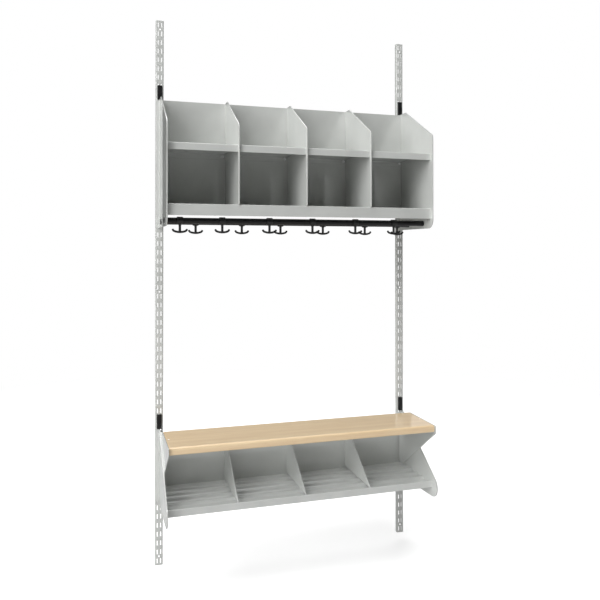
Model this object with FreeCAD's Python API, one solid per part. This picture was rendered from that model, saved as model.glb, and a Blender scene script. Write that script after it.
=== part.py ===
import FreeCAD, Part
import math
import os

# A wall-hung cloakroom unit: two slotted uprights carry a row of open cubbies
# with hook bars below it, and lower down a wooden seat above a shoe rack.
# Lengths are in millimetres and angles in degrees. Heights count from the
# lower ends of the uprights, and reaches count forward from their front faces.

# Uprights
upright_spacing = 960.0
upright_width = 28.0
upright_depth = 14.0
upright_wall = 2.0
slot_pitch = 32.0
slot_count = 62
slot_width = 3.6
slot_height = 17.0
slot_column_spacing = 12.0
wall_hole_diameter = 6.5

# Sheet metal and the hook lugs that hang in the slots
panel_thickness = 4.0
sheet_thickness = 2.0
flange_thickness = 3.0
lug_thickness = 2.4
lug_neck_height = 7.5
lug_drop = 8.0
lug_play = 0.4

# Cubby unit
bay_count = 4
cubby_bottom = 1224.5
cubby_height = 468.0
cubby_reach = 272.0
cubby_end_overhang = 9.0
cubby_divider_drop = 3.0
cubby_top_flat = 57.0
cubby_top_slope = 29.5
cubby_foot_radius = 34.0
cubby_brow_radius = 20.0
cubby_back_setoff = 15.0
cubby_back_drop = 4.0
floor_rise = 73.5
floor_lip_height = 38.5
floor_rear_flange = 18.0
floor_rear_setoff = 5.0
floor_setback = 5.0
hat_shelf_rise = 276.0
hat_shelf_lip_height = 24.0
hat_shelf_setback = 10.0
hat_shelf_rear_flange = 18.0

# Screws of the hat shelves
screw_diameter = 5.0
screw_length = 9.0
screw_head_diameter = 11.0
screw_head_height = 3.5
screw_from_side = 9.0
screw_below_shelf = 6.2
hole_clearance = 0.2

# Hook bars and their end plugs
bar_diameter = 20.0
bar_wall = 1.5
bar_rise = 19.8
front_bar_reach = 205.0
rear_bar_reach = 85.0
plug_rim = 0.5
plug_head_thickness = 3.0
plug_spigot_length = 15.0

# Coat hooks, and where each one stands as a share of the clear bar from the left
sliding_clearance = 0.3
hook_ring_wall = 2.7
hook_ring_length = 20.0
hook_stem_diameter = 8.5
hook_drop = 39.0
hook_arm_radius = 54.0
hook_arm_angle = 19.5
hook_end_radius = 9.0
hook_end_angle = 45.0
hook_wire_diameter = 7.2
hook_tip_diameter = 7.6
front_hook_places = (0.050, 0.201, 0.376, 0.542, 0.714, 0.874)
rear_hook_places = (0.123, 0.299, 0.452, 0.626, 0.805, 0.948)

# Locking clips
clip_width = 17.0
clip_height = 53.0
clip_thickness = 5.0
clip_edge_radius = 1.5
clip_peg_height = 8.0
clip_peg_length = 5.0
clip_peg_from_end = 19.0

# Seat and its brackets
seat_height = 509.0
seat_thickness = 25.0
seat_depth = 202.0
seat_reach = 300.0
seat_front_radius = 8.0
seat_edge_radius = 3.0
bracket_thickness = 3.0
bracket_side_gap = 0.3
bracket_overhang = 7.0
bracket_top_drop = 1.0
bracket_nose_height = 2.0
bracket_corner_radius = 6.0
bracket_foot_height = 297.0
bracket_foot_reach = 46.0
bracket_flange_width = 22.0
bracket_flange_margin = 8.0
seat_bolt_diameter = 6.0
seat_bolt_head_diameter = 9.0
seat_bolt_head_height = 1.6
seat_bolt_from_end = 8.5
seat_nut_diameter = 11.0
seat_nut_height = 5.0

# Shoe rack
shoe_bottom = 232.0
shoe_top = 493.5
shoe_ahead_of_seat = 10.0
shoe_top_flat = 35.0
shoe_front_slope = 35.0
shoe_tip_radius = 38.0
shoe_shelf_height = 287.0
shoe_shelf_setback = 38.0
shoe_shelf_rear = 6.0
shoe_lip_rise = 12.0
shoe_lip_drop = 11.5
shoe_lip_thickness = 6.0
ridge_count = 4
ridge_pitch = 47.0
first_ridge_reach = 61.0
ridge_height = 7.0
ridge_base = 22.0
ridge_crest = 8.0
shoe_back_top = 470.0
shoe_back_side_gap = 2.0
shoe_divider_end_gap = 4.0

# Values worked out from the sizes above
upright_length = slot_pitch * slot_count
half_spacing = upright_spacing / 2
outer_column = half_spacing + slot_column_spacing / 2
inner_column = half_spacing - slot_column_spacing / 2
clear_half_width = half_spacing - panel_thickness / 2
bay_width = upright_spacing / bay_count
cubby_top = cubby_bottom + cubby_height
cubby_back_face = cubby_back_setoff + sheet_thickness
floor_top = cubby_bottom + floor_rise
hat_shelf_top = cubby_bottom + hat_shelf_rise
bar_height = cubby_bottom + bar_rise
seat_underside = seat_height - seat_thickness
bracket_web_outside = clear_half_width - bracket_side_gap
bracket_web_inside = bracket_web_outside - bracket_thickness
seat_half_width = bracket_web_inside - bracket_side_gap
shoe_reach = seat_reach + shoe_ahead_of_seat
shoe_shelf_reach = shoe_reach - shoe_shelf_setback
shoe_back_face = shoe_shelf_rear + sheet_thickness


def height(value):
    """Z of a height above the lower ends of the uprights."""
    return value - upright_length / 2


def reach(value):
    """Y of a point that far in front of the uprights' front faces."""
    return -upright_depth - value


def box(x_limits, reach_limits, height_limits):
    """Box between two X values, two reaches and two heights."""
    x_low, x_high = sorted(x_limits)
    reach_low, reach_high = sorted(reach_limits)
    height_low, height_high = sorted(height_limits)
    corner = FreeCAD.Vector(x_low, reach(reach_high), height(height_low))
    return Part.makeBox(x_high - x_low, reach_high - reach_low, height_high - height_low, corner)


def rod(axis, diameter, length, x, reach_value, height_value):
    """Cylinder that starts at a point and runs along an axis."""
    start = FreeCAD.Vector(x, reach(reach_value), height(height_value))
    return Part.makeCylinder(diameter / 2, length, start, axis)


def outline_wire(corners, x):
    """Closed outline at one X; each corner is a reach, a height and a radius."""
    points = [FreeCAD.Vector(x, reach(r), height(h)) for r, h, radius in corners]
    bends = []
    for n, corner in enumerate(points):
        radius = corners[n][2]
        if radius == 0:
            bends.append((corner, None, corner))
            continue
        towards_last = (points[n - 1] - corner).normalize()
        towards_next = (points[(n + 1) % len(points)] - corner).normalize()
        half_angle = towards_last.getAngle(towards_next) / 2
        tangent = radius / math.tan(half_angle)
        inward = (towards_last + towards_next).normalize()
        middle = corner + inward * (radius / math.sin(half_angle) - radius)
        bends.append((corner + towards_last * tangent, middle, corner + towards_next * tangent))
    edges = []
    for n, (start, middle, end) in enumerate(bends):
        edges.append(Part.LineSegment(bends[n - 1][2], start).toShape())
        if middle is not None:
            edges.append(Part.Arc(start, middle, end).toShape())
    return Part.Wire(edges)


def plate(corners, x_limits):
    """Solid with a side outline, extruded between two X values."""
    x_low, x_high = sorted(x_limits)
    face = Part.Face(outline_wire(corners, x_low))
    return face.extrude(FreeCAD.Vector(x_high - x_low, 0, 0))


def mirrored(shape):
    """The same piece for the left side."""
    return shape.mirror(FreeCAD.Vector(0, 0, 0), FreeCAD.Vector(1, 0, 0))


def save(name, shape):
    shape.exportStep(os.path.join("parts", name + ".step"))
    print(name, len(shape.Solids), "solids", round(shape.Volume / 1000, 1), "cm3")


def save_pair(name, right_shape):
    save(name + "_left", mirrored(right_shape))
    save(name + "_right", right_shape)


def slot_heights():
    return [slot_pitch * (n + 0.5) for n in range(slot_count)]


def slots_behind(low, high):
    """The lowest, a middle and the highest slot that lie wholly between two heights."""
    half = slot_height / 2
    hidden = [h for h in slot_heights() if low <= h - half and h + half <= high]
    return hidden[0], hidden[len(hidden) // 2], hidden[-1]


def upright():
    """Right-hand upright: a channel with two columns of slots and three wall holes."""
    half_width = upright_width / 2
    x_limits = (half_spacing - half_width, half_spacing + half_width)
    inner_limits = (x_limits[0] + upright_wall, x_limits[1] - upright_wall)
    channel = box(x_limits, (0, -upright_depth), (0, upright_length))
    cuts = [box(inner_limits, (-upright_wall, -upright_depth), (0, upright_length))]
    for column in (inner_column, outer_column):
        slot_limits = (column - slot_width / 2, column + slot_width / 2)
        for middle in slot_heights():
            slot_range = (middle - slot_height / 2, middle + slot_height / 2)
            cuts.append(box(slot_limits, (0, -upright_wall), slot_range))
    middle_hole = slot_pitch * (slot_count // 2)
    for hole_height in (slot_pitch, middle_hole, upright_length - slot_pitch):
        backwards = FreeCAD.Vector(0, 1, 0)
        cuts.append(rod(backwards, wall_hole_diameter, upright_depth, half_spacing, 0, hole_height))
    return channel.cut(cuts)


def lug(column, slot):
    """Hook that passes through a slot, rests on its lower edge and drops behind the web."""
    seat = slot - slot_height / 2
    behind_web = -upright_wall - lug_play
    tail = behind_web - lug_thickness
    corners = [(0, seat, 0), (behind_web, seat, 0), (behind_web, seat - lug_drop, 0),
               (tail, seat - lug_drop, 0), (tail, seat + lug_neck_height, 0),
               (0, seat + lug_neck_height, 0)]
    return plate(corners, (column - lug_thickness / 2, column + lug_thickness / 2))


def hung_panel(corners, low, high, flange_start):
    """Right-hand end panel with a rear flange that covers the upright from one X outward."""
    panel_limits = (clear_half_width, clear_half_width + panel_thickness)
    flange_limits = (flange_start, half_spacing + upright_width / 2)
    pieces = [box(flange_limits, (0, flange_thickness), (low, high))]
    pieces += [lug(outer_column, slot) for slot in slots_behind(low, high)]
    return plate(corners, panel_limits).fuse(pieces).removeSplitter()


def cubby_outline(rear, front, low, top, foot_radius):
    """Side outline of a cubby end or divider, whose top slopes down towards the front."""
    brow = top - (front - cubby_top_flat) * math.tan(math.radians(cubby_top_slope))
    return [(rear, low, 0), (front, low, foot_radius), (front, brow, cubby_brow_radius),
            (cubby_top_flat, top, 0), (rear, top, 0)]


def cubby_end():
    """Right-hand end with a round lower front corner, which stands in front of the dividers."""
    front = cubby_reach + cubby_end_overhang
    corners = cubby_outline(0, front, cubby_bottom, cubby_top, cubby_foot_radius)
    panel = hung_panel(corners, cubby_bottom, cubby_top, half_spacing - upright_width / 2)
    rightwards = FreeCAD.Vector(1, 0, 0)
    hole = bar_diameter + 2 * hole_clearance
    cuts = [rod(rightwards, hole, panel_thickness, clear_half_width, bar_reach, bar_height)
            for bar_reach in (front_bar_reach, rear_bar_reach)]
    return panel.cut(cuts)


def divider_places():
    """X of the planes between neighbouring bays."""
    return [-half_spacing + bay_width * (n + 1) for n in range(bay_count - 1)]


def divider_limits(x):
    return (x - panel_thickness / 2, x + panel_thickness / 2)


def cubby_divider(x):
    """Panel between two bays, standing on the floor in front of the back."""
    top = cubby_top - cubby_divider_drop
    corners = cubby_outline(cubby_back_face, cubby_reach, floor_top, top, 0)
    return plate(corners, divider_limits(x))


def bay_limits(n):
    """Clear X limits of one bay, counted from the left."""
    left = -half_spacing + bay_width * n
    return (left + panel_thickness / 2, left + bay_width - panel_thickness / 2)


def shelf_screw_places():
    """X and height of the two screws behind each hat shelf."""
    places = []
    for n in range(bay_count):
        left, right = bay_limits(n)
        for x in (left + screw_from_side, right - screw_from_side):
            places.append((x, hat_shelf_top - sheet_thickness - screw_below_shelf))
    return places


def shelf_screw_holes():
    forward = FreeCAD.Vector(0, -1, 0)
    diameter = screw_diameter + 2 * hole_clearance
    depth = cubby_back_face + sheet_thickness
    return [rod(forward, diameter, depth, x, 0, h) for x, h in shelf_screw_places()]


def cubby_back():
    """Plain sheet behind the bays, standing on the floor between the cubby ends."""
    sheet = box((-clear_half_width, clear_half_width), (cubby_back_setoff, cubby_back_face),
                (floor_top, cubby_top - cubby_back_drop))
    return sheet.cut(shelf_screw_holes())


def cubby_floor():
    """Bottom shelf with a deep front lip and a rear flange, both turned down."""
    front = cubby_reach - floor_setback
    rear = floor_rear_setoff
    x_limits = (-clear_half_width, clear_half_width)
    sheet = box(x_limits, (rear, front), (floor_top - sheet_thickness, floor_top))
    lip = box(x_limits, (front - sheet_thickness, front), (floor_top - floor_lip_height, floor_top))
    flange = box(x_limits, (rear, rear + sheet_thickness), (floor_top - floor_rear_flange, floor_top))
    return sheet.fuse([lip, flange]).removeSplitter()


def hat_shelf(n):
    """Shelf across one bay, with its front lip and rear flange turned down."""
    x_limits = bay_limits(n)
    front = cubby_reach - hat_shelf_setback
    rear = cubby_back_face
    top = hat_shelf_top
    sheet = box(x_limits, (rear, front), (top - sheet_thickness, top))
    lip = box(x_limits, (front - sheet_thickness, front), (top - hat_shelf_lip_height, top))
    flange_low = top - sheet_thickness - hat_shelf_rear_flange
    flange = box(x_limits, (rear, rear + sheet_thickness), (flange_low, top))
    return sheet.fuse([lip, flange]).removeSplitter().cut(shelf_screw_holes())


def shelf_screws():
    """Button-head screws through the hat shelves' rear flanges into the back."""
    backwards = FreeCAD.Vector(0, 1, 0)
    seat = cubby_back_face + sheet_thickness
    screws = []
    for x, h in shelf_screw_places():
        head_front = seat + screw_head_height
        head = rod(backwards, screw_head_diameter, screw_head_height, x, head_front, h)
        shank = rod(backwards, screw_diameter, screw_length, x, seat, h)
        screws.append(head.fuse(shank))
    return Part.makeCompound(screws)


def hook_bar(bar_reach):
    """Round tube that runs through both cubby ends."""
    length = 2 * clear_half_width + 2 * panel_thickness
    rightwards = FreeCAD.Vector(1, 0, 0)
    tube = rod(rightwards, bar_diameter, length, -length / 2, bar_reach, bar_height)
    bore = bar_diameter - 2 * bar_wall
    return tube.cut(rod(rightwards, bore, length, -length / 2, bar_reach, bar_height))


def bar_plugs():
    """Plugs that close the four bar ends outside the cubby ends."""
    rightwards = FreeCAD.Vector(1, 0, 0)
    face = clear_half_width + panel_thickness
    head_diameter = bar_diameter + 2 * plug_rim
    spigot_diameter = bar_diameter - 2 * bar_wall - 2 * hole_clearance
    plugs = []
    for bar_reach in (front_bar_reach, rear_bar_reach):
        head = rod(rightwards, head_diameter, plug_head_thickness, face, bar_reach, bar_height)
        spigot_start = face - plug_spigot_length
        spigot = rod(rightwards, spigot_diameter, plug_spigot_length, spigot_start, bar_reach, bar_height)
        right_plug = head.fuse(spigot)
        plugs += [right_plug, mirrored(right_plug)]
    return Part.makeCompound(plugs)


def bent_wire(start, centre, turn):
    """Round wire that turns about a centre in the hook's plane, and the point where it ends."""
    across = FreeCAD.Vector(0, 1, 0)
    along = across.cross(start - centre).normalize()
    section = Part.Face(Part.Wire(Part.makeCircle(hook_wire_diameter / 2, start, along)))
    end = centre + FreeCAD.Rotation(across, turn).multVec(start - centre)
    return section.revolve(centre, across, turn), end


def hook_arms(x, bar_reach):
    """Two arms that bend outward from the stem and turn up at their ends."""
    lowest = FreeCAD.Vector(x, reach(bar_reach), height(bar_height - hook_drop))
    upwards = FreeCAD.Vector(0, 0, 1)
    arm_centre = lowest + upwards * hook_arm_radius
    pieces = []
    for side in (-1, 1):
        arm, bend = bent_wire(lowest, arm_centre, -side * hook_arm_angle)
        end_centre = bend + (arm_centre - bend).normalize() * hook_end_radius
        end, tip = bent_wire(bend, end_centre, -side * hook_end_angle)
        pieces += [arm, end, Part.makeSphere(hook_tip_diameter / 2, tip)]
    return pieces


def coat_hook(share, bar_reach):
    """Anchor-shaped double hook on a ring that slides along its bar."""
    x = -clear_half_width + 2 * clear_half_width * share
    rightwards = FreeCAD.Vector(1, 0, 0)
    downwards = FreeCAD.Vector(0, 0, -1)
    bore = bar_diameter + 2 * sliding_clearance
    outside = bore + 2 * hook_ring_wall
    ring_start = x - hook_ring_length / 2
    ring = rod(rightwards, outside, hook_ring_length, ring_start, bar_reach, bar_height)
    stem = rod(downwards, hook_stem_diameter, hook_drop, x, bar_reach, bar_height)
    solid = ring.fuse([stem] + hook_arms(x, bar_reach))
    return solid.cut(rod(rightwards, bore, hook_ring_length, ring_start, bar_reach, bar_height))


def locking_clip(panel_top, peg_end_down):
    """Right-hand clip above a hung panel, with a peg in each slot column."""
    peg_rise = clip_peg_from_end if peg_end_down else clip_height - clip_peg_from_end
    peg = min(slot for slot in slot_heights() if slot - peg_rise >= panel_top)
    low = peg - peg_rise
    radius = clip_edge_radius
    corners = [(0, low, 0), (clip_thickness, low, radius),
               (clip_thickness, low + clip_height, radius), (0, low + clip_height, 0)]
    body = plate(corners, (half_spacing - clip_width / 2, half_spacing + clip_width / 2))
    peg_half_width = slot_width / 2 - sliding_clearance
    peg_range = (peg - clip_peg_height / 2, peg + clip_peg_height / 2)
    pegs = [box((column - peg_half_width, column + peg_half_width), (0, -clip_peg_length), peg_range)
            for column in (inner_column, outer_column)]
    return body.fuse(pegs).removeSplitter()


def seat_bolt_places():
    """X and reach of the bolts that hold the seat to its brackets."""
    x = seat_half_width - seat_bolt_from_end
    return [(side * x, seat_reach - seat_depth / 2) for side in (-1, 1)]


def seat_bolt_holes():
    upwards = FreeCAD.Vector(0, 0, 1)
    diameter = seat_bolt_diameter + 2 * hole_clearance
    low = seat_underside - flange_thickness
    depth = seat_thickness + flange_thickness
    return [rod(upwards, diameter, depth, x, r, low) for x, r in seat_bolt_places()]


def seat_bolt_recesses():
    """Counterbores that take the bolt heads flush with the seat."""
    downwards = FreeCAD.Vector(0, 0, -1)
    diameter = seat_bolt_head_diameter + 2 * hole_clearance
    return [rod(downwards, diameter, seat_bolt_head_height, x, r, seat_height) for x, r in seat_bolt_places()]


def seat_board():
    rear = seat_reach - seat_depth
    corners = [(rear, seat_underside, seat_edge_radius), (seat_reach, seat_underside, seat_edge_radius),
               (seat_reach, seat_height, seat_front_radius), (rear, seat_height, seat_edge_radius)]
    board = plate(corners, (-seat_half_width, seat_half_width))
    return board.cut(seat_bolt_holes() + seat_bolt_recesses())


def seat_bracket():
    """Right-hand gusset that covers the seat's end, with flanges on the upright and under the board."""
    underside = seat_underside
    rear = seat_reach - seat_depth
    front = seat_reach + bracket_overhang
    top = seat_height - bracket_top_drop
    corners = [(0, bracket_foot_height, 0), (bracket_foot_reach, bracket_foot_height, 0),
               (front, underside - bracket_nose_height, bracket_corner_radius),
               (front, top, bracket_corner_radius), (rear, top, 0),
               (clip_thickness, underside, 0), (0, underside, 0)]
    upright_edge = half_spacing - upright_width / 2
    wall_flange = box((upright_edge, bracket_web_inside), (0, flange_thickness),
                      (bracket_foot_height, underside))
    flange_reach = (rear + bracket_flange_margin, seat_reach - bracket_flange_margin)
    seat_flange = box((bracket_web_inside - bracket_flange_width, bracket_web_inside), flange_reach,
                      (underside - flange_thickness, underside))
    lugs = [lug(inner_column, slot) for slot in slots_behind(bracket_foot_height, underside)]
    web = plate(corners, (bracket_web_inside, bracket_web_outside))
    bracket = web.fuse([wall_flange, seat_flange] + lugs).removeSplitter()
    return bracket.cut(seat_bolt_holes())


def seat_bolts():
    """Bolts with round heads flush in the seat and nuts under the bracket flanges."""
    upwards = FreeCAD.Vector(0, 0, 1)
    low = seat_underside - flange_thickness
    head_low = seat_height - seat_bolt_head_height
    bolts = []
    for x, r in seat_bolt_places():
        head = rod(upwards, seat_bolt_head_diameter, seat_bolt_head_height, x, r, head_low)
        shank = rod(upwards, seat_bolt_diameter, head_low - low, x, r, low)
        nut = rod(upwards, seat_nut_diameter, seat_nut_height, x, r, low - seat_nut_height)
        bolts.append(head.fuse([shank, nut]))
    return Part.makeCompound(bolts)


def shoe_end():
    """Blade-shaped end with a sloping front edge and a round tip."""
    slope = math.tan(math.radians(shoe_front_slope))
    tip_centre = shoe_reach - shoe_tip_radius
    edge_height = shoe_top - (tip_centre - shoe_top_flat) * slope
    centre_height = edge_height - shoe_tip_radius / math.cos(math.radians(shoe_front_slope))
    lower_rise = (centre_height - shoe_tip_radius - shoe_bottom) / tip_centre
    corner = (shoe_top + shoe_top_flat * slope - shoe_bottom) / (slope + lower_rise)
    corners = [(0, shoe_bottom, 0), (corner, shoe_bottom + corner * lower_rise, shoe_tip_radius),
               (shoe_top_flat, shoe_top, 0), (0, shoe_top, 0)]
    return hung_panel(corners, shoe_bottom, shoe_top, clear_half_width + panel_thickness)


def shoe_shelf():
    """Level shelf pressed with ridges, with a thick folded lip along the front."""
    top = shoe_shelf_height
    lip_rear = shoe_shelf_reach - shoe_lip_thickness
    profile = [(shoe_shelf_rear, top)]
    for n in range(ridge_count):
        middle = first_ridge_reach + n * ridge_pitch
        profile += [(middle - ridge_base / 2, top), (middle - ridge_crest / 2, top + ridge_height),
                    (middle + ridge_crest / 2, top + ridge_height), (middle + ridge_base / 2, top)]
    profile.append((lip_rear, top))
    underside = [(r, h - sheet_thickness) for r, h in reversed(profile)]
    lip = [(lip_rear, top + shoe_lip_rise), (shoe_shelf_reach, top + shoe_lip_rise),
           (shoe_shelf_reach, top - shoe_lip_drop), (lip_rear, top - shoe_lip_drop)]
    corners = [(r, h, 0) for r, h in profile + lip + underside]
    return plate(corners, (-clear_half_width, clear_half_width))


def shoe_back():
    """Plain sheet behind the shoe bays, between the uprights."""
    half_width = half_spacing - upright_width / 2 - shoe_back_side_gap
    return box((-half_width, half_width), (shoe_shelf_rear, shoe_back_face),
               (shoe_shelf_height, shoe_back_top))


def shoe_divider(x):
    """Wedge that stands on the ridges and stops behind the lip."""
    low = shoe_shelf_height + ridge_height
    front = shoe_shelf_reach - shoe_lip_thickness - shoe_divider_end_gap
    rise = (front - shoe_back_face) * math.tan(math.radians(shoe_front_slope))
    corners = [(shoe_back_face, low, 0), (front, low, 0)]
    if low + rise > shoe_back_top:
        flat = front - (shoe_back_top - low) / math.tan(math.radians(shoe_front_slope))
        corners += [(flat, shoe_back_top, 0), (shoe_back_face, shoe_back_top, 0)]
    else:
        corners.append((shoe_back_face, low + rise, 0))
    return plate(corners, divider_limits(x))


def build():
    os.makedirs("parts", exist_ok=True)
    save_pair("upright", upright())
    save_pair("clip_upper", locking_clip(cubby_top, True))
    save_pair("clip_lower", locking_clip(max(shoe_top, seat_underside), False))
    save_pair("cubby_end", cubby_end())
    save("cubby_back", cubby_back())
    save("cubby_floor", cubby_floor())
    for n, x in enumerate(divider_places()):
        save("cubby_divider_" + str(n + 1), cubby_divider(x))
        save("shoe_divider_" + str(n + 1), shoe_divider(x))
    for n in range(bay_count):
        save("hat_shelf_" + str(n + 1), hat_shelf(n))
    save("shelf_screws", shelf_screws())
    save("hook_bar_front", hook_bar(front_bar_reach))
    save("hook_bar_rear", hook_bar(rear_bar_reach))
    save("bar_plugs", bar_plugs())
    for n, share in enumerate(front_hook_places):
        save("hook_front_" + str(n + 1), coat_hook(share, front_bar_reach))
    for n, share in enumerate(rear_hook_places):
        save("hook_rear_" + str(n + 1), coat_hook(share, rear_bar_reach))
    save("seat_board", seat_board())
    save_pair("seat_bracket", seat_bracket())
    save("seat_bolts", seat_bolts())
    save_pair("shoe_end", shoe_end())
    save("shoe_shelf", shoe_shelf())
    save("shoe_back", shoe_back())


build()
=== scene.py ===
# %% [markdown]
# A wall-hung cloakroom unit: two slotted uprights carry a row of open cubbies with two hook bars below
# it, and lower down a wooden seat above a shoe rack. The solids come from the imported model. This script
# dresses each of them: folded sheets get their bend radii, cut edges are eased, moulded and turned
# pieces are built anew, and every piece gets the finish that the real one has.

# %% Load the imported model
import math
import bmesh
import bpy
from mathutils import Matrix, Vector


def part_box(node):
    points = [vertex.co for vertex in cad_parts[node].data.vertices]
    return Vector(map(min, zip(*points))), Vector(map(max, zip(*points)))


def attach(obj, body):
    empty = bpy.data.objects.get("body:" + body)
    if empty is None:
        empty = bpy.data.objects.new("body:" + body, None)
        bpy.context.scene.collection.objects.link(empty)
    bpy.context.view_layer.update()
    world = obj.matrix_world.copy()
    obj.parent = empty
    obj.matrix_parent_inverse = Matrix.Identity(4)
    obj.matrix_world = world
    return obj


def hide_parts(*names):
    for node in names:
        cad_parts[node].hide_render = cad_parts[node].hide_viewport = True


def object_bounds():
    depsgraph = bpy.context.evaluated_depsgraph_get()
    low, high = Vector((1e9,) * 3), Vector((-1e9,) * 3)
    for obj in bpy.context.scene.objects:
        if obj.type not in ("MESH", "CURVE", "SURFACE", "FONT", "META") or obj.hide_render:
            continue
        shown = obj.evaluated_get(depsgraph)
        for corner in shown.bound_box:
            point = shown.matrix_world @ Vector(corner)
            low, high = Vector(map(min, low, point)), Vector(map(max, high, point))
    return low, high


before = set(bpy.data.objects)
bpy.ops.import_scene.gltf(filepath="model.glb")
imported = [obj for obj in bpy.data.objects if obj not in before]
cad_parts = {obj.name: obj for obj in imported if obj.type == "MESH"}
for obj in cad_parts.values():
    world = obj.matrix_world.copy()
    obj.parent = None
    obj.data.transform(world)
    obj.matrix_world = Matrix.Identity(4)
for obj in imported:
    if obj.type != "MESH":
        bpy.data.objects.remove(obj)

mm = 0.001
cad_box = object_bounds()
print("CAD box", cad_box)

# %% [markdown]
# Colours are read off the real finish as sRGB hex codes, but shaders mix light in linear values, so one
# function turns the codes over. A second one adds a shader node with its settings and links in one call:
# a value that is a socket becomes a link, and any other value is set on the socket.

# %% Colour and node helpers
def linear(code):
    """Linear RGBA of an sRGB hex colour."""
    parts = [int(code[n:n + 2], 16) / 255 for n in (1, 3, 5)]
    return (*[v / 12.92 if v <= 0.04045 else ((v + 0.055) / 1.055) ** 2.4 for v in parts], 1.0)


def add_node(tree, kind, inputs, **settings):
    """A new node with its settings, and its inputs linked or set."""
    node = tree.nodes.new(kind)
    for name, value in settings.items():
        setattr(node, name, value)
    for name, value in inputs.items():
        if isinstance(value, bpy.types.NodeSocket):
            tree.links.new(value, node.inputs[name])
        else:
            node.inputs[name].default_value = value
    return node


def start_finish(name):
    """An empty material, its node tree and the place on the piece, in metres."""
    finish = bpy.data.materials.new(name)
    finish.use_nodes = True
    finish.node_tree.nodes.clear()
    place = add_node(finish.node_tree, "ShaderNodeTexCoord", {}).outputs["Object"]
    return finish, finish.node_tree, place


def two_tones(tree, amount, dark, light, low=0.35, high=0.65):
    """A colour that goes from one hex code to another while an amount rises from low to high."""
    share = add_node(tree, "ShaderNodeMapRange", {"Value": amount, "From Min": low, "From Max": high})
    colour = add_node(tree, "ShaderNodeMix", {"Factor": share.outputs["Result"], "A": linear(dark),
                                              "B": linear(light)}, data_type="RGBA")
    return colour.outputs["Result"]


def end_finish(tree, inputs):
    """Closes a material with its shader."""
    shader = add_node(tree, "ShaderNodeBsdfPrincipled", inputs)
    add_node(tree, "ShaderNodeOutputMaterial", {"Surface": shader.outputs["BSDF"]})


# Most values of a soft noise lie in this span
noise_span = {"From Min": 0.3, "From Max": 0.7}

# %% [markdown]
# The sheet metal is powder coated: dry paint is sprayed on, then melted in an oven. It flows out into a
# thin plastic skin with a fine orange peel. The pigment scatters light widely, and the clear resin on top
# of it mirrors softly, more so at a flat angle, so the shader has a rough base under a smoother coat. A
# slow drift in the grey and in the gloss keeps large panels from looking printed. The peel of the real
# coat is about 1 mm from crest to crest and is drawn at 2 mm, because it would not show otherwise.

# %% Powder coats
def powder_coat(name, dark, light, gloss_low, gloss_high, resin):
    finish, tree, place = start_finish(name)
    drift_size = 90 * mm
    peel_size = 2 * mm
    peel_depth = 0.1 * mm
    drift = add_node(tree, "ShaderNodeTexNoise", {"Vector": place, "Scale": 1 / drift_size, "Detail": 3.0})
    peel = add_node(tree, "ShaderNodeTexNoise", {"Vector": place, "Scale": 1 / peel_size, "Detail": 1.0})
    gloss = add_node(tree, "ShaderNodeMapRange", {"Value": drift.outputs["Fac"], **noise_span,
                                                  "To Min": gloss_low, "To Max": gloss_high})
    bump = add_node(tree, "ShaderNodeBump", {"Height": peel.outputs["Fac"], "Strength": 0.12,
                                             "Distance": peel_depth})
    end_finish(tree, {"Base Color": two_tones(tree, drift.outputs["Fac"], dark, light),
                      "Roughness": gloss.outputs["Result"], "Normal": bump.outputs["Normal"],
                      "IOR": 1.5, "Specular IOR Level": 0.25,
                      "Coat Weight": resin, "Coat Roughness": 0.06, "Coat IOR": 1.9})
    return finish


grey_coat = powder_coat("grey_powder_coat", "#C6C8C5", "#CCCECB", 0.42, 0.52, 1.0)
black_coat = powder_coat("black_powder_coat", "#0A0B0C", "#101112", 0.38, 0.48, 0.1)
print("powder coats:", grey_coat.name, black_coat.name)

# %% [markdown]
# Hooks, clips and plugs are injection moulded in black nylon. Its mould is lightly etched, which gives a
# fine grain and a satin surface, and the plastic itself is never quite black. The grain of the real mould
# is about 0.3 mm and is drawn at 0.8 mm so that a close view shows it.

# %% Moulded nylon
def moulded_nylon():
    finish, tree, place = start_finish("black_moulded_nylon")
    grain_size = 0.8 * mm
    grain_depth = 0.05 * mm
    cloud_size = 15 * mm
    grain = add_node(tree, "ShaderNodeTexVoronoi", {"Vector": place, "Scale": 1 / grain_size})
    cloud = add_node(tree, "ShaderNodeTexNoise", {"Vector": place, "Scale": 1 / cloud_size, "Detail": 2.0})
    gloss = add_node(tree, "ShaderNodeMapRange", {"Value": cloud.outputs["Fac"], **noise_span,
                                                  "To Min": 0.36, "To Max": 0.5})
    bump = add_node(tree, "ShaderNodeBump", {"Height": grain.outputs["Distance"], "Strength": 0.15,
                                             "Distance": grain_depth})
    end_finish(tree, {"Base Color": two_tones(tree, cloud.outputs["Fac"], "#0F1011", "#171819"),
                      "Roughness": gloss.outputs["Result"], "Normal": bump.outputs["Normal"], "IOR": 1.53})
    return finish


nylon = moulded_nylon()
print("plastic:", nylon.name)
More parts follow.
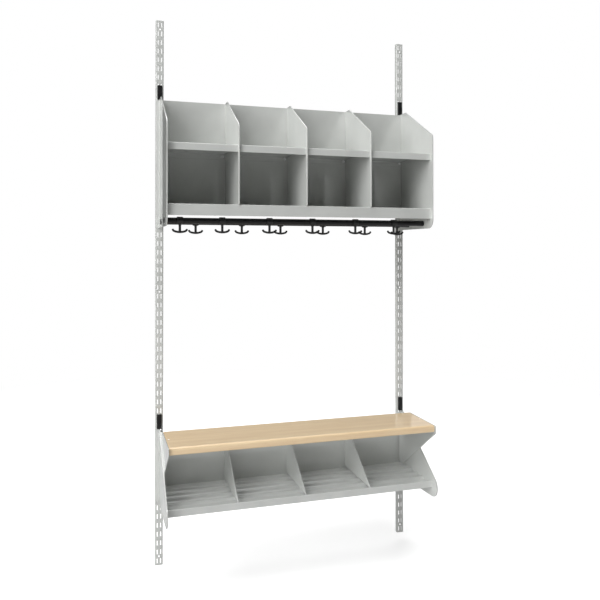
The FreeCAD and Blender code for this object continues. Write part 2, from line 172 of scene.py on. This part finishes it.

# %% [markdown]
# The seat is light beech under clear lacquer. Beech has a quiet grain: long pale and darker bands along the
# board, and short dark flecks a few millimetres long where its rays are cut. The lacquer lies smooth over
# both, so it is a clear coat of its own with a sharper gloss than the wood below it. The underside is
# painted shade: it is coloured a plain grey, so that the light the board throws down into the shoe bays
# stays neutral and not warm.

# %% Lacquered beech
def lacquered_beech():
    finish, tree, place = start_finish("lacquered_beech")
    # Length along the board and width across it of each kind of mark
    band_size = (420 * mm, 14 * mm)
    fibre_size = (60 * mm, 1.6 * mm)
    fleck_size = (7 * mm, 0.9 * mm)
    mark_strength = 0.4
    pore_depth = 0.1 * mm
    layers = []
    for length, width in (band_size, fibre_size, fleck_size):
        stretch = (1 / length, 1 / width, 1 / width)
        along = add_node(tree, "ShaderNodeMapping", {"Vector": place, "Scale": stretch})
        marks = add_node(tree, "ShaderNodeTexNoise", {"Vector": along.outputs["Vector"], "Scale": 1.0,
                                                      "Detail": 3.0, "Roughness": 0.55})
        layers.append(marks.outputs["Fac"])
    bands = two_tones(tree, layers[0], "#E8CDA6", "#F2DAB4", 0.32, 0.68)
    fibres = two_tones(tree, layers[1], "#E9DCC8", "#FFFFFF", 0.30, 0.62)
    flecks = two_tones(tree, layers[2], "#D9C3A5", "#FFFFFF", 0.30, 0.36)
    wood = bands
    for layer in (fibres, flecks):
        mixed = add_node(tree, "ShaderNodeMix", {"Factor": mark_strength, "A": wood, "B": layer},
                         data_type="RGBA", blend_type="MULTIPLY")
        wood = mixed.outputs["Result"]
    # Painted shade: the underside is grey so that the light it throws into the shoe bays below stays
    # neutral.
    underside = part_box("seat_board")[0][2]
    grey_band = 0.4 * mm
    depth = add_node(tree, "ShaderNodeSeparateXYZ", {"Vector": place}).outputs["Z"]
    above = add_node(tree, "ShaderNodeMapRange", {"Value": depth, "From Min": underside + grey_band,
                                                  "From Max": underside + 2 * grey_band}).outputs["Result"]
    bounce_grey_underside = add_node(tree, "ShaderNodeMix", {"Factor": above, "A": linear("#CFD0CE"), "B": wood},
                     data_type="RGBA")
    gloss = add_node(tree, "ShaderNodeMapRange", {"Value": layers[0], **noise_span,
                                                  "To Min": 0.34, "To Max": 0.44})
    pores = add_node(tree, "ShaderNodeBump", {"Height": layers[1], "Strength": 0.06, "Distance": pore_depth})
    end_finish(tree, {"Base Color": bounce_grey_underside.outputs["Result"], "Roughness": gloss.outputs["Result"],
                      "Normal": pores.outputs["Normal"], "IOR": 1.5,
                      "Coat Weight": 0.9, "Coat Roughness": 0.05, "Coat IOR": 1.5})
    return finish


beech = lacquered_beech()
print("wood:", beech.name)

# %% [markdown]
# Screws and bolts are zinc plated steel, dull and a little cloudy from its bath. Their near-white colour is
# a painted highlight, paler than the plating, so that the small heads stay bright in the shade under the
# shelves. They scatter most of the light and mirror only a small share.

# %% Zinc plate
def painted_bright_zinc():
    finish, tree, place = start_finish("zinc_plated_steel")
    cloud_size = 3 * mm
    cloud = add_node(tree, "ShaderNodeTexNoise", {"Vector": place, "Scale": 1 / cloud_size, "Detail": 4.0})
    gloss = add_node(tree, "ShaderNodeMapRange", {"Value": cloud.outputs["Fac"], **noise_span,
                                                  "To Min": 0.5, "To Max": 0.65})
    # Painted highlight: the near-white colour keeps the heads bright in shade; the cloud is the plating's
    # own.
    end_finish(tree, {"Base Color": two_tones(tree, cloud.outputs["Fac"], "#F2F4F4", "#FCFDFD"),
                      "Metallic": 0.2, "Roughness": gloss.outputs["Result"]})
    return finish


highlight_zinc = painted_bright_zinc()
print("metal:", highlight_zinc.name)

# %% [markdown]
# Every piece ends the same way: doubles are merged, the faces turned outwards, the mesh shaded smooth
# with its sharp edges kept, and the object set to ride a body and to stand for its solids. A small bevel
# on cut edges catches the light as a real edge does, and weighted normals keep the large faces flat.

# %% Piece helpers
bevel_steps = 3
weld_distance = 0.002 * mm
smooth_limit = 40


def box_corners(node):
    """The low and the high corner of a CAD node's box."""
    return [Vector(corner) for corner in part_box(node)]


def round_edges(bm, edges, radius, steps=bevel_steps):
    """Rounds edges with a radius."""
    return bmesh.ops.bevel(bm, geom=edges, offset=radius, offset_type="OFFSET", affect="EDGES",
                           segments=steps, profile=0.5, material=-1, clamp_overlap=True)


def sharp_edges(bm, least_angle=50):
    """Edges where two faces meet at more than an angle in degrees."""
    return [edge for edge in bm.edges
            if edge.is_manifold and edge.calc_face_angle() > math.radians(least_angle)]


def ring_edges(bm, ring):
    """Edges between the vertices of a ring."""
    return [edge for edge in bm.edges if all(vert in ring for vert in edge.verts)]


def add_block(bm, low, high):
    """A box between two corners; returns its vertices."""
    middle = (Vector(low) + Vector(high)) / 2
    size = Vector(high) - Vector(low)
    place = Matrix.Translation(middle) @ Matrix.Diagonal((*size, 1))
    return bmesh.ops.create_cube(bm, size=1, matrix=place)["verts"]


def make_piece(name, bm, finish, nodes, body="frame", closed=True):
    """An object from a bmesh that rides a body and stands for CAD nodes."""
    bmesh.ops.remove_doubles(bm, verts=bm.verts, dist=weld_distance)
    if closed:
        bmesh.ops.recalc_face_normals(bm, faces=bm.faces)
    mesh = bpy.data.meshes.new(name)
    bm.to_mesh(mesh)
    bm.free()
    mesh.materials.append(finish)
    mesh.shade_smooth()
    mesh.set_sharp_from_angle(angle=math.radians(smooth_limit))
    piece = bpy.data.objects.new(name, mesh)
    bpy.context.scene.collection.objects.link(piece)
    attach(piece, body)
    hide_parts(*nodes)
    print(name, len(mesh.polygons), "faces on", body)
    return piece


def flatten_shading(piece):
    """Keeps large faces flat beside their rounded edges."""
    piece.modifiers.new("flat faces", "WEIGHTED_NORMAL").keep_sharp = True


# %% [markdown]
# A folded sheet starts as a line of corners, the side view of the outer skin. The line is drawn out along
# one axis into a surface, each fold gets its bend radius, Solidify adds the sheet's thickness inwards and
# Bevel eases the cut edges. This is how the real sheet is made too: cut flat, then bent.

# %% Folded sheet helper
sheet_thickness = 2 * mm
bend_radius = 2.5 * mm
cut_edge_radius = 0.4 * mm


def drawn_out(bm, line, axis, cuts):
    """Draws a line of points out along an axis, through a list of cuts."""
    verts = [bm.verts.new(point) for point in line]
    edges = [bm.edges.new(pair) for pair in zip(verts, verts[1:])]
    for start, end in zip(cuts, cuts[1:]):
        new = bmesh.ops.extrude_edge_only(bm, edges=edges)["geom"]
        new_verts = [part for part in new if isinstance(part, bmesh.types.BMVert)]
        bmesh.ops.translate(bm, verts=new_verts, vec=Vector(axis) * (end - start))
        edges = [part for part in new if isinstance(part, bmesh.types.BMEdge)
                 and all(vert in new_verts for vert in part.verts)]


def turn_skin(bm, direction):
    """Turns an open skin so that its largest face looks in a direction."""
    bmesh.ops.recalc_face_normals(bm, faces=bm.faces)
    largest = max(bm.faces, key=lambda face: face.calc_area())
    if largest.normal.dot(Vector(direction)) < 0:
        bmesh.ops.reverse_faces(bm, faces=bm.faces)


def thicken(piece, thickness=sheet_thickness):
    """Adds the sheet's thickness behind its skin, and eases its cut edges."""
    wall = piece.modifiers.new("sheet thickness", "SOLIDIFY")
    wall.thickness = thickness
    wall.offset = -1
    wall.use_even_offset = True
    ease = piece.modifiers.new("cut edges", "BEVEL")
    ease.width = cut_edge_radius
    ease.segments = 2
    ease.limit_method = "ANGLE"
    ease.angle_limit = math.radians(60)
    flatten_shading(piece)


# %% [markdown]
# The uprights are roll-formed channels with two columns of punched slots. The channel's section is drawn
# upwards in steps of one land and one slot, the slot faces are taken out, and the lands that have a wall
# hole are filled anew round it.

# %% Uprights
slot_pitch = 32 * mm
slot_height = 17 * mm
slot_width = 3.6 * mm
slot_column_spacing = 12 * mm
wall_hole_radius = 3.25 * mm
upright_bend_radius = 2.5 * mm
row_tolerance = 0.1


def punch_hole(bm, land, centre, radius):
    """Replaces a flat face by faces round a hole."""
    rim = list(land.edges)
    bmesh.ops.delete(bm, geom=[land], context="FACES_ONLY")
    upright_circle = Matrix.Translation(centre) @ Matrix.Rotation(math.pi / 2, 4, "X")
    ring = bmesh.ops.create_circle(bm, segments=24, radius=radius, matrix=upright_circle)["verts"]
    bmesh.ops.triangle_fill(bm, use_beauty=True, edges=rim + ring_edges(bm, ring), normal=(0, -1, 0))


def upright(side):
    node = "upright_" + side
    low, high = box_corners(node)
    middle = (low.x + high.x) / 2
    pitches = round((high.z - low.z) / slot_pitch)
    half_gap = (slot_column_spacing - slot_width) / 2
    half_reach = (slot_column_spacing + slot_width) / 2
    across = [low.x, middle - half_reach, middle - half_gap, middle + half_gap, middle + half_reach, high.x]
    section = [(low.x, high.y, low.z)] + [(x, low.y, low.z) for x in across] + [(high.x, high.y, low.z)]
    land = (slot_pitch - slot_height) / 2
    cuts = [low.z]
    for n in range(pitches):
        start = low.z + n * slot_pitch
        cuts += [start + land, start + land + slot_height]
    cuts.append(high.z)
    bm = bmesh.new()
    drawn_out(bm, section, (0, 0, 1), cuts)
    slots = []
    lands = {}
    for face in bm.faces:
        spot = face.calc_center_median()
        from_middle = abs(spot.x - middle)
        in_row = abs((spot.z - low.z) / slot_pitch % 1 - 0.5) < row_tolerance
        if in_row and half_gap < from_middle < half_reach and spot.y < low.y + sheet_thickness:
            slots.append(face)
        elif from_middle < half_gap and not in_row:
            lands[round((spot.z - low.z) / slot_pitch)] = face
    for n in (1, pitches // 2, pitches - 1):
        punch_hole(bm, lands[n], (middle, low.y, low.z + n * slot_pitch), wall_hole_radius)
    bmesh.ops.delete(bm, geom=slots, context="FACES")
    turn_skin(bm, (0, -1, 0))
    round_edges(bm, sharp_edges(bm), upright_bend_radius, 4)
    piece = make_piece(node + "_channel", bm, grey_coat, [node], closed=False)
    thicken(piece)


for side in ("left", "right"):
    upright(side)

# %% [markdown]
# Flat panels with flanges, lugs and holes already have their true shape in the solids, but every edge of
# a solid is knife sharp. A copy is merged, its flat faces joined, and its edges rounded, as a thick coat
# of powder rounds them.

# %% Panels with eased edges
def eased_copy(node, radius, name):
    bm = bmesh.new()
    bm.from_mesh(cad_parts[node].data)
    bmesh.ops.remove_doubles(bm, verts=bm.verts, dist=weld_distance)
    bmesh.ops.dissolve_limit(bm, angle_limit=math.radians(0.5), verts=bm.verts, edges=bm.edges)
    round_edges(bm, sharp_edges(bm), radius)
    piece = make_piece(name, bm, grey_coat, [node])
    flatten_shading(piece)


panel_edge_radius = 1.1 * mm
thin_edge_radius = 0.5 * mm
for side in ("left", "right"):
    eased_copy("cubby_end_" + side, panel_edge_radius, "cubby_end_panel_" + side)
    eased_copy("shoe_end_" + side, panel_edge_radius, "shoe_end_blade_" + side)
    eased_copy("seat_bracket_" + side, thin_edge_radius, "seat_gusset_" + side)
for n in ("1", "2", "3"):
    eased_copy("cubby_divider_" + n, panel_edge_radius, "cubby_partition_" + n)
    eased_copy("shoe_divider_" + n, panel_edge_radius, "shoe_wedge_" + n)
for node in ("cubby_back", "shoe_back"):
    eased_copy(node, thin_edge_radius, node + "_sheet")

# %% [markdown]
# Hat shelves and the cubby floor are single folded sheets: a flange at the back, the shelf, and a lip at
# the front that stiffens it.

# %% Hat shelves and cubby floor
hat_shelf_rear_flange = 20 * mm
floor_rear_flange = 18 * mm


def lipped_shelf(node, flange_drop, name):
    low, high = box_corners(node)
    corners = [(high.y, high.z - flange_drop), (high.y, high.z), (low.y, high.z), (low.y, low.z)]
    bm = bmesh.new()
    drawn_out(bm, [(low.x, y, z) for y, z in corners], (1, 0, 0), [low.x, high.x])
    turn_skin(bm, (0, 0, 1))
    round_edges(bm, sharp_edges(bm), bend_radius, 6)
    piece = make_piece(name, bm, grey_coat, [node], closed=False)
    thicken(piece)


for n in ("1", "2", "3", "4"):
    lipped_shelf("hat_shelf_" + n, hat_shelf_rear_flange, "hat_tray_" + n)
lipped_shelf("cubby_floor", floor_rear_flange, "cubby_floor_sheet")

# %% [markdown]
# The shoe shelf is pressed with four long ridges, so that shoes stand above their drips, and its front is
# folded up and over into a rounded lip. The same line-and-draw way makes it: the ridges are corners in
# the line, and rounding each corner gives the soft swell of pressed steel.

# %% Shoe shelf
ridge_count = 4
ridge_pitch = 47 * mm
first_ridge_reach = 61 * mm
ridge_height = 7 * mm
ridge_base = 22 * mm
ridge_crest = 8 * mm
lip_rise = 12 * mm
lip_thickness = 6 * mm
ridge_rounding = 1.2 * mm
lip_rounding = 0.48 * lip_thickness


def shoe_shelf():
    low, high = box_corners("shoe_shelf")
    wall_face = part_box("upright_left")[0][1]
    top = high.z - lip_rise
    line = [(high.y, top)]
    for n in range(ridge_count):
        middle = wall_face - first_ridge_reach - n * ridge_pitch
        line += [(middle + ridge_base / 2, top), (middle + ridge_crest / 2, top + ridge_height),
                 (middle - ridge_crest / 2, top + ridge_height), (middle - ridge_base / 2, top)]
    lip_rear = low.y + lip_thickness
    line += [(lip_rear, top), (lip_rear, high.z), (low.y, high.z), (low.y, low.z)]
    bm = bmesh.new()
    drawn_out(bm, [(low.x, y, z) for y, z in line], (1, 0, 0), [low.x, high.x])
    turn_skin(bm, (0, 0, 1))
    lip_folds = sharp_edges(bm, 80)
    ridge_folds = [edge for edge in sharp_edges(bm, 20) if edge not in lip_folds]
    round_edges(bm, ridge_folds, ridge_rounding, 6)
    # Rounding changes the mesh, so the folds of the lip are looked up again
    round_edges(bm, sharp_edges(bm, 80), lip_rounding, 6)
    piece = make_piece("shoe_shelf_pressing", bm, grey_coat, ["shoe_shelf"],
                       closed=False)
    thicken(piece)


shoe_shelf()

# %% [markdown]
# The seat is one thick board with an eased front. It starts as a block: the front top edge gets a large
# radius and the rest a small one. The top is then opened round the two bolts, and each opening drawn down
# into a counterbore, so that nobody sits on a bolt head.

# %% Seat board
seat_front_radius = 8 * mm
seat_edge_radius = 3 * mm
bolt_recess_radius = 4.7 * mm
bolt_recess_depth = 1.6 * mm


def bolt_places():
    """X and Y of the seat bolts, from the two halves of their solid."""
    low, high = box_corners("seat_bolts")
    radius = (high.y - low.y) / 2
    return [(x, (low.y + high.y) / 2) for x in (low.x + radius, high.x - radius)]


def seat_board():
    low, high = box_corners("seat_board")
    bm = bmesh.new()
    add_block(bm, low, high)
    front_top = [edge for edge in bm.edges
                 if all(vert.co.y < low.y + mm and vert.co.z > high.z - mm for vert in edge.verts)]
    round_edges(bm, front_top, seat_front_radius, 8)
    round_edges(bm, sharp_edges(bm), seat_edge_radius, 4)
    top = max((face for face in bm.faces if face.normal.z > 0.99), key=lambda face: face.calc_area())
    rim = list(top.edges)
    bmesh.ops.delete(bm, geom=[top], context="FACES_ONLY")
    rings = []
    for x, y in bolt_places():
        ring = bmesh.ops.create_circle(bm, segments=32, radius=bolt_recess_radius,
                                       matrix=Matrix.Translation((x, y, high.z)))["verts"]
        rings.append(ring_edges(bm, ring))
    bmesh.ops.triangle_fill(bm, use_beauty=True, edges=rim + rings[0] + rings[1], normal=(0, 0, 1))
    for ring in rings:
        new = bmesh.ops.extrude_edge_only(bm, edges=ring)["geom"]
        verts = [part for part in new if isinstance(part, bmesh.types.BMVert)]
        bmesh.ops.translate(bm, verts=verts, vec=(0, 0, -bolt_recess_depth))
        floor_edges = [part for part in new if isinstance(part, bmesh.types.BMEdge)
                       and all(vert in verts for vert in part.verts)]
        bmesh.ops.contextual_create(bm, geom=floor_edges)
    piece = make_piece("seat_plank", bm, beech, ["seat_board"])
    flatten_shading(piece)


seat_board()

# %% [markdown]
# Turned pieces are drawn as half of their side view and spun round their axis. A profile is a list of
# (distance along the axis, radius) points, and spinning it a full turn closes the shape.

# %% Turned shape helper
def spin_profile(bm, points, origin, axis, steps=32):
    """Spins a profile of (along, radius) points round an axis through an origin."""
    axis = Vector(axis).normalized()
    side = axis.orthogonal().normalized()
    origin = Vector(origin)
    verts = [bm.verts.new(origin + axis * along + side * radius) for along, radius in points]
    edges = [bm.edges.new(pair) for pair in zip(verts, verts[1:])]
    bmesh.ops.spin(bm, geom=verts + edges, cent=origin, axis=axis, angle=2 * math.pi, steps=steps,
                   use_merge=True)


# %% [markdown]
# The hook bars are drawn tubes, and moulded plugs with softly domed heads close their ends.

# %% Hook bars and plugs
bar_wall = 1.5 * mm
plug_head_radius = 10.5 * mm
plug_head_thickness = 3 * mm
plug_dome_height = 0.3 * plug_head_thickness
plug_length = 12 * mm
plug_taper = 0.3 * mm
plug_clearance = 0.2 * mm


def hook_bar(row):
    node = "hook_bar_" + row
    low, high = box_corners(node)
    outside = (high.z - low.z) / 2
    inside = outside - bar_wall
    length = high.x - low.x
    start = (low.x, (low.y + high.y) / 2, (low.z + high.z) / 2)
    bm = bmesh.new()
    section = [(0, inside), (0, outside), (length, outside), (length, inside), (0, inside)]
    spin_profile(bm, section, start, (1, 0, 0), 40)
    make_piece(node + "_tube", bm, black_coat, [node])


def bar_plugs():
    bm = bmesh.new()
    for row in ("front", "rear"):
        low, high = box_corners("hook_bar_" + row)
        y, z = (low.y + high.y) / 2, (low.z + high.z) / 2
        dome = plug_dome_height
        rim = plug_head_thickness - 2 * dome
        spigot = (high.z - low.z) / 2 - bar_wall - plug_clearance
        shape = [(-plug_length, 0), (-plug_length, spigot - plug_taper), (0, spigot), (0, plug_head_radius),
                 (rim, plug_head_radius), (rim + dome, plug_head_radius - dome),
                 (rim + 1.7 * dome, plug_head_radius - 3 * dome), (plug_head_thickness, 0)]
        spin_profile(bm, shape, (high.x, y, z), (1, 0, 0))
        spin_profile(bm, shape, (low.x, y, z), (-1, 0, 0))
    make_piece("bar_end_plugs", bm, nylon, ["bar_plugs"])


hook_bar("front")
hook_bar("rear")
bar_plugs()

# %% [markdown]
# Each coat hook is one moulding: a ring that slides on its bar, a stem, and two arms that sweep out like
# an anchor and turn up at their ends. The ring is a spun section and the stem a turned shape that flares
# into both ends. Each arm is a circle spun twice, first round the centre of the wide bend and then round
# the centre of the tight one.

# %% Coat hooks
hook_wire_radius = 3.6 * mm
hook_tip_radius = 3.8 * mm
hook_arm_radius = 54 * mm
hook_arm_angle = 19.5
hook_end_radius = 9 * mm
hook_end_angle = 45
hook_ring_wall = 2.7 * mm
hook_ring_length = 20 * mm
hook_stem_radius = 4.25 * mm
stem_root_depth = 0.6 * mm
stem_foot_depth = 0.5 * mm
ring_edge = 0.8 * mm
ring_corner = 0.3 * ring_edge


def hook_arm(bm, crown, side):
    """One arm, spun from the stem's foot to its tip."""
    section = Matrix.Translation(crown) @ Matrix.Rotation(math.pi / 2, 4, "Y")
    ring = bmesh.ops.create_circle(bm, segments=16, radius=hook_wire_radius, matrix=section)["verts"]
    ends = ring + ring_edges(bm, ring)
    place = crown
    centre = crown + Vector((0, 0, hook_arm_radius))
    wide_bend = (hook_arm_radius, hook_arm_angle, 10)
    tight_bend = (hook_end_radius, hook_end_angle, 8)
    for radius, angle, steps in (wide_bend, tight_bend):
        centre = place + (centre - place).normalized() * radius
        turn = -side * math.radians(angle)
        swept = bmesh.ops.spin(bm, geom=ends, cent=centre, axis=(0, 1, 0), angle=turn, steps=steps)
        ends = swept["geom_last"]
        place = centre + Matrix.Rotation(turn, 3, "Y") @ (place - centre)
    bmesh.ops.contextual_create(bm, geom=[part for part in ends if isinstance(part, bmesh.types.BMEdge)])
    bmesh.ops.create_uvsphere(bm, u_segments=20, v_segments=14, radius=hook_tip_radius,
                              matrix=Matrix.Translation(place))


def coat_hook(node):
    low, high = box_corners(node)
    outside = (high.y - low.y) / 2
    inside = outside - hook_ring_wall
    x = (low.x + high.x) / 2
    bar = Vector((x, (low.y + high.y) / 2, high.z - outside))
    half = hook_ring_length / 2
    bm = bmesh.new()
    left_half = [(-half, inside), (-half, outside - ring_edge),
                 (-half + ring_corner, outside - ring_corner), (-half + ring_edge, outside)]
    right_half = [(-along, radius) for along, radius in reversed(left_half)]
    spin_profile(bm, left_half + right_half + left_half[:1], bar, (1, 0, 0), 36)
    crown = Vector((x, bar.y, low.z + hook_wire_radius))
    drop = bar.z - crown.z
    root = inside + stem_root_depth
    foot = drop + stem_foot_depth
    upper_flare = [(root, 0), (root, hook_stem_radius * 1.4), (outside + 1 * mm, hook_stem_radius * 1.2),
                   (outside + 4 * mm, hook_stem_radius)]
    lower_flare = [(drop - 7 * mm, hook_stem_radius), (drop - 2.5 * mm, hook_stem_radius * 1.1),
                   (foot, hook_stem_radius * 0.8), (foot, 0)]
    spin_profile(bm, upper_flare + lower_flare, bar, (0, 0, -1), 24)
    for side in (-1, 1):
        hook_arm(bm, crown, side)
    make_piece(node + "_moulding", bm, nylon, [node], body=node)


hook_rows = ("hook_front", "hook_rear")
hook_names = sorted(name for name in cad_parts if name.startswith(hook_rows))
for node in hook_names:
    coat_hook(node)

# %% [markdown]
# The locking clips are small moulded blocks whose pegs snap into the slots above a hung panel. The block
# has rounded edges, a shallow thumb recess in its face and grip ribs across it.

# %% Locking clips
clip_edge_radius = 1.4 * mm
clip_peg_height = 8 * mm
clip_peg_from_end = 19 * mm
peg_clearance = 0.3 * mm
thumb_margin = 3 * mm
thumb_depth = 0.7 * mm
rib_count = 5
rib_pitch = 5 * mm
rib_height = 1.6 * mm
rib_side_gap = 1 * mm
rib_setback = 0.1 * mm
root_depth = 0.5 * mm


def locking_clip(node, peg_end_down):
    low, high = box_corners(node)
    rail_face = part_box("upright_left")[0][1]
    bm = bmesh.new()
    add_block(bm, low, (high.x, rail_face, high.z))
    round_edges(bm, sharp_edges(bm), clip_edge_radius)
    face = min(bm.faces, key=lambda part: part.calc_center_median().y)
    bmesh.ops.inset_region(bm, faces=[face], thickness=thumb_margin, depth=0)
    bmesh.ops.inset_region(bm, faces=[face], thickness=thumb_depth, depth=-thumb_depth)
    middle = (low.z + high.z) / 2
    for n in range(rib_count):
        z = middle + (n - (rib_count - 1) / 2) * rib_pitch
        margin = thumb_margin + rib_side_gap
        rib_low = (low.x + margin, low.y + rib_setback, z - rib_height / 2)
        rib_high = (high.x - margin, low.y + thumb_depth + root_depth, z + rib_height / 2)
        add_block(bm, rib_low, rib_high)
    peg = low.z + clip_peg_from_end if peg_end_down else high.z - clip_peg_from_end
    half_width = slot_width / 2 - peg_clearance
    for sign in (-1, 1):
        column = (low.x + high.x) / 2 + sign * slot_column_spacing / 2
        peg_low = (column - half_width, rail_face - root_depth, peg - clip_peg_height / 2)
        peg_high = (column + half_width, high.y, peg + clip_peg_height / 2)
        add_block(bm, peg_low, peg_high)
    piece = make_piece(node + "_moulding", bm, nylon, [node], body=node)
    flatten_shading(piece)


for side in ("left", "right"):
    locking_clip("clip_upper_" + side, True)
    locking_clip("clip_lower_" + side, False)

# %% [markdown]
# Button-head screws hold the hat shelves to the back, and the seat bolts have low domed heads with
# hexagon nuts below. They are small but bright, so each has its dome, and the screws the socket that
# drives them.

# %% Screws and bolts
screw_head_radius = 5.5 * mm
screw_head_height = 3.5 * mm
screw_radius = 2.5 * mm
screw_dome = [(0.5 * mm, screw_head_radius), (1.8 * mm, 4.8 * mm), (2.9 * mm, 3.6 * mm)]
socket_radius = 2 * mm
socket_rim = 0.3 * mm
socket_floor = 1.6 * mm
bolt_head_radius = 4.5 * mm
bolt_radius = 3 * mm
nut_height = 5 * mm


def shelf_screws():
    low, high = box_corners("shelf_screws")
    z = (low.z + high.z) / 2
    under_head = low.y + screw_head_height
    tip = under_head - high.y
    shank = [(tip, 0), (tip, screw_radius), (0, screw_radius), (0, screw_head_radius)]
    socket = [(screw_head_height, socket_radius + socket_rim), (screw_head_height, socket_radius),
              (socket_floor, socket_radius), (socket_floor, 0)]
    last_screw = high.x - screw_head_radius
    from_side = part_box("hat_shelf_4")[1][0] - last_screw
    bm = bmesh.new()
    for n in ("1", "2", "3", "4"):
        shelf_low, shelf_high = box_corners("hat_shelf_" + n)
        for x in (shelf_low.x + from_side, shelf_high.x - from_side):
            spin_profile(bm, shank + screw_dome + socket, (x, under_head, z), (0, -1, 0), 24)
    make_piece("hat_tray_screws", bm, highlight_zinc, ["shelf_screws"])


def seat_bolts():
    low, high = box_corners("seat_bolts")
    tip = low.z + nut_height / 2 - high.z
    shank = [(tip, 0), (tip, bolt_radius), (-bolt_recess_depth, bolt_radius)]
    head = [(-bolt_recess_depth, bolt_head_radius), (-1.3 * mm, bolt_head_radius),
            (-0.8 * mm, bolt_head_radius - 0.7 * mm), (-0.35 * mm, bolt_head_radius - 1.6 * mm),
            (-0.1 * mm, bolt_head_radius - 2.8 * mm), (0, 0)]
    nut_radius = (high.y - low.y) / 2
    bm = bmesh.new()
    for x, y in bolt_places():
        spin_profile(bm, shank + head, (x, y, high.z), (0, 0, 1), 32)
        nut_middle = Matrix.Translation((x, y, low.z + nut_height / 2))
        bmesh.ops.create_cone(bm, cap_ends=True, segments=6, radius1=nut_radius, radius2=nut_radius,
                              depth=nut_height, matrix=nut_middle)
    make_piece("seat_plank_bolts", bm, highlight_zinc, ["seat_bolts"])


shelf_screws()
seat_bolts()

# %% [markdown]
# The stage is a pale floor just below the uprights. The surround and the floor look white to the camera,
# as in a product photograph, while the floor still takes the object's shadow. The surround gives hardly
# any light, so the bays go dark inwards.

# %% Floor and surround
floor_gap = 30 * mm
floor_glow = 0.42
shadow_reach = 2.0
white_reach = 4.0
floor_half_width = 30
surround_light = 0.01


def joined(tree, kind, first, second, inputs):
    """Adds or mixes two shaders."""
    node = add_node(tree, kind, inputs)
    tree.links.new(first, node.inputs[-2])
    tree.links.new(second, node.inputs[-1])
    return node.outputs["Shader"]


def white_floor():
    paper, tree, place = start_finish("white_floor")
    dull = add_node(tree, "ShaderNodeBsdfDiffuse", {"Color": linear("#C4C4C4")}).outputs["BSDF"]
    bright = add_node(tree, "ShaderNodeBsdfDiffuse", {"Color": linear("#F2F2F2")}).outputs["BSDF"]
    glow = add_node(tree, "ShaderNodeEmission", {"Strength": floor_glow}).outputs["Emission"]
    white = add_node(tree, "ShaderNodeEmission", {"Strength": 1.0}).outputs["Emission"]
    distance = add_node(tree, "ShaderNodeVectorMath", {"Vector": place}, operation="LENGTH")
    reach = {"Value": distance.outputs["Value"], "From Min": shadow_reach, "From Max": white_reach}
    fade = add_node(tree, "ShaderNodeMapRange", reach).outputs["Result"]
    path = add_node(tree, "ShaderNodeLightPath", {})
    near = joined(tree, "ShaderNodeAddShader", bright, glow, {})
    far = joined(tree, "ShaderNodeMixShader", near, white, {"Fac": fade})
    seen = joined(tree, "ShaderNodeMixShader", dull, far, {"Fac": path.outputs["Is Camera Ray"]})
    add_node(tree, "ShaderNodeOutputMaterial", {"Surface": seen})
    bm = bmesh.new()
    level = Matrix.Translation((0, 0, cad_box[0][2] - floor_gap))
    bmesh.ops.create_grid(bm, x_segments=1, y_segments=1, size=floor_half_width, matrix=level)
    mesh = bpy.data.meshes.new("white_floor")
    bm.to_mesh(mesh)
    bm.free()
    mesh.materials.append(paper)
    floor = bpy.data.objects.new("white_floor", mesh)
    bpy.context.scene.collection.objects.link(floor)


def white_surround(strength):
    world = bpy.data.worlds.new("white_surround")
    world.use_nodes = True
    tree = world.node_tree
    tree.nodes.clear()
    path = add_node(tree, "ShaderNodeLightPath", {})
    light = add_node(tree, "ShaderNodeBackground", {"Color": linear("#FFFFFF"), "Strength": strength})
    white = add_node(tree, "ShaderNodeBackground", {"Color": linear("#FFFFFF"), "Strength": 1.0})
    seen = joined(tree, "ShaderNodeMixShader", light.outputs["Background"], white.outputs["Background"],
                  {"Fac": path.outputs["Is Camera Ray"]})
    add_node(tree, "ShaderNodeOutputWorld", {"Surface": seen})
    bpy.context.scene.world = world


white_floor()
white_surround(surround_light)
print("floor at", cad_box[0][2] - floor_gap)

# %% [markdown]
# Large soft boxes far off at the left front and high on the left give plain studio light with soft edges
# to its shadows. One above and one high behind light the faces that look up, and a dim panel and a small
# window behind mirror in the lacquer of the seat.

# %% Lamps
lamp_aim = Vector((0, -0.15, 0.15))
far_off = 14.0


def soft_box(name, left_of_front, above, distance, width, watts):
    """A square lamp; its angles are degrees from straight in front of the unit, its lengths metres."""
    around, up = math.radians(left_of_front), math.radians(above)
    towards = Vector((-math.cos(up) * math.sin(around), -math.cos(up) * math.cos(around), math.sin(up)))
    lamp = bpy.data.lights.new(name, "AREA")
    lamp.size = width
    lamp.energy = watts
    holder = bpy.data.objects.new(name, lamp)
    holder.location = lamp_aim + towards * distance
    holder.rotation_euler = towards.to_track_quat("Z", "Y").to_euler()
    bpy.context.scene.collection.objects.link(holder)
    print(name, "at", [round(value, 2) for value in holder.location])


soft_box("key_high", 52, 30, far_off, 7.0, 820)
soft_box("key_low", 60, 6, far_off, 5.6, 690)
soft_box("side", 75, 50, far_off, 7.0, 455)
soft_box("top", 23, 67, far_off, 7.0, 960)
soft_box("top_back", 180, 68, far_off, 11.0, 960)
soft_box("back_panel", -165, 15, 8.0, 6.0, 17)
soft_box("back_window", -135.5, 16, 5.0, 2.4, 9)

# %% [markdown]
# The camera stands where the photographer stood: to the left of the unit and a little above its middle,
# looking nearly level. A small shift keeps the uprights straight while the frame sits lower.

# %% Camera and view
camera_data = bpy.data.cameras.new("camera")
camera_data.sensor_width = 36
camera_data.lens = 39.68
camera_data.shift_y = -0.0953
camera = bpy.data.objects.new("camera", camera_data)
camera.location = (-0.6916, -2.4711, 0.1568)
camera.rotation_euler = (math.radians(90.52), 0, math.radians(-16.92))
bpy.context.scene.collection.objects.link(camera)
bpy.context.scene.camera = camera
bpy.context.scene.view_settings.view_transform = "Standard"
